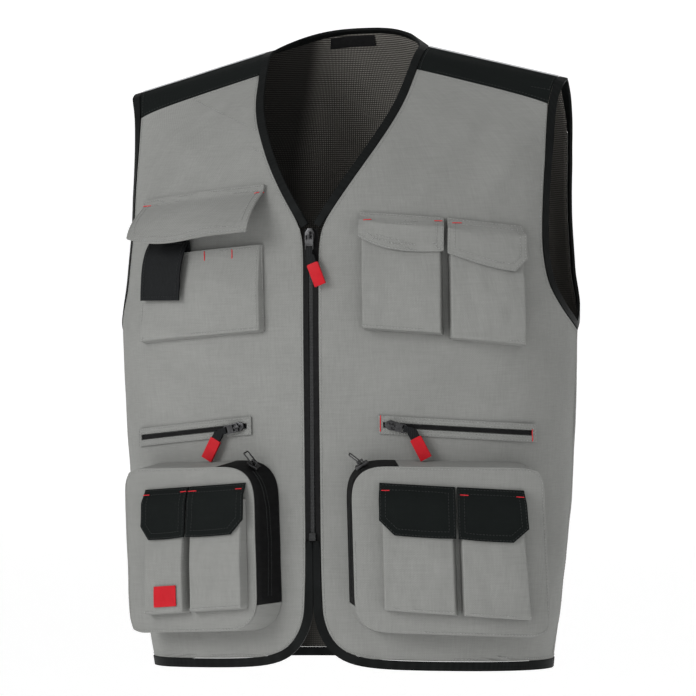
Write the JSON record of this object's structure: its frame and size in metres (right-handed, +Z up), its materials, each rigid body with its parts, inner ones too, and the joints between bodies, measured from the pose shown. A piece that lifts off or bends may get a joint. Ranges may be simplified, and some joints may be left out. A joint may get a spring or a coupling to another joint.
{
  "type": "utility work vest",
  "caption": "Sleeveless canvas utility vest with a front zip, contrast shoulder yokes, bound edges, flapped chest pockets, zipped welt pockets and large bellows pockets.",
  "frame": {"origin": "midway between the two points where the shoulder seams meet the neck, in the centre plane", "axes": "+Z up as worn, -Y towards the front, +X towards the wearer's left; +Z runs up through the neck opening"},
  "size_m": [0.51, 0.2847, 0.6941],
  "materials": {
    "grey_canvas": "mid-grey cotton-blend canvas with a fine diagonal weave",
    "black_canvas": "black polyester canvas",
    "binding_tape": "black folded binding tape",
    "black_webbing": "black ribbed webbing",
    "lining_mesh": "brown-black open mesh lining",
    "zip_tape": "black woven zip tape with a coil",
    "label_cloth": "black woven label, left bare",
    "grey_piping": "light grey piping cord",
    "red_rubber": "red moulded rubber, left bare",
    "dark_metal": "dark nickel-plated zinc"
  },
  "bodies": {
    "vest": {"front_panel_right": "grey_canvas", "front_panel_left": "grey_canvas", "back_panel": "grey_canvas", "yoke_right": "black_canvas", "yoke_left": "black_canvas", "back_yoke": "black_canvas", "back_lining": "lining_mesh", "neck_binding": "binding_tape", "armhole_binding_right": "binding_tape", "armhole_binding_left": "binding_tape", "hem_binding_right": "binding_tape", "hem_binding_left": "binding_tape", "hem_binding_back": "binding_tape", "shoulder_piping_right": "grey_piping", "shoulder_piping_left": "grey_piping", "zip_tape_right": "zip_tape", "zip_tape_left": "zip_tape", "zip_chain": "dark_metal", "neck_label": "label_cloth", "chest_pocket_first": "grey_canvas", "chest_flap_first": "grey_canvas", "chest_pocket_second": "grey_canvas", "chest_flap_second": "grey_canvas", "chest_pocket_right": "grey_canvas", "chest_flap_right": "grey_canvas", "phone_strap": "black_webbing", "cargo_label": "red_rubber", "zip_slider": "dark_metal", "cargo_front_right": "grey_canvas", "cargo_zip_right": "zip_tape", "cargo_gusset_right": "grey_canvas", "cargo_pocket_right_inner": "grey_canvas", "cargo_flap_right_inner": "black_canvas", "cargo_pocket_right_outer": "grey_canvas", "cargo_flap_right_outer": "black_canvas", "welt_right": "grey_canvas", "welt_zip_right": "zip_tape", "welt_slider_right": "dark_metal", "cargo_slider_right": "dark_metal", "cargo_front_left": "grey_canvas", "cargo_zip_left": "zip_tape", "cargo_gusset_left": "grey_canvas", "cargo_pocket_left_inner": "grey_canvas", "cargo_flap_left_inner": "black_canvas", "cargo_pocket_left_outer": "grey_canvas", "cargo_flap_left_outer": "black_canvas", "welt_left": "grey_canvas", "welt_zip_left": "zip_tape", "welt_slider_left": "dark_metal", "cargo_slider_left": "dark_metal"},
    "zip_pull": {"zip_tab": "dark_metal", "zip_tag": "red_rubber"},
    "welt_pull_right": {"welt_tab_right": "dark_metal", "welt_tag_right": "red_rubber"},
    "welt_pull_left": {"welt_tab_left": "dark_metal", "welt_tag_left": "red_rubber"},
    "cargo_pull_right": {"cargo_loop_right": "dark_metal"},
    "cargo_pull_left": {"cargo_loop_left": "dark_metal"}
  },
  "joints": [
    {"name": "zip_pull_hinge", "type": "hinge", "parent": "vest", "child": "zip_pull", "pos_m": [-0.0001, -0.13246, -0.2062], "axis": [-1, 0.0002, 0], "range_deg": [0, 150]},
    {"name": "welt_pull_right_hinge", "type": "hinge", "parent": "vest", "child": "welt_pull_right", "pos_m": [-0.08678, -0.12089, -0.40658], "axis": [-0.2535, -0.0032, 0.9673], "range_deg": [0, 150]},
    {"name": "welt_pull_left_hinge", "type": "hinge", "parent": "vest", "child": "welt_pull_left", "pos_m": [0.08277, -0.1215, -0.4063], "axis": [-0.2538, 0.0053, -0.9672], "range_deg": [0, 150]},
    {"name": "cargo_pull_right_hinge", "type": "hinge", "parent": "vest", "child": "cargo_pull_right", "pos_m": [-0.06398, -0.13344, -0.4439], "axis": [-0.2328, -0.9339, -0.2714], "range_deg": [-130, 5]},
    {"name": "cargo_pull_left_hinge", "type": "hinge", "parent": "vest", "child": "cargo_pull_left", "pos_m": [0.05267, -0.13462, -0.44392], "axis": [-0.2139, 0.9382, 0.272], "range_deg": [-55, 70]}
  ]
}
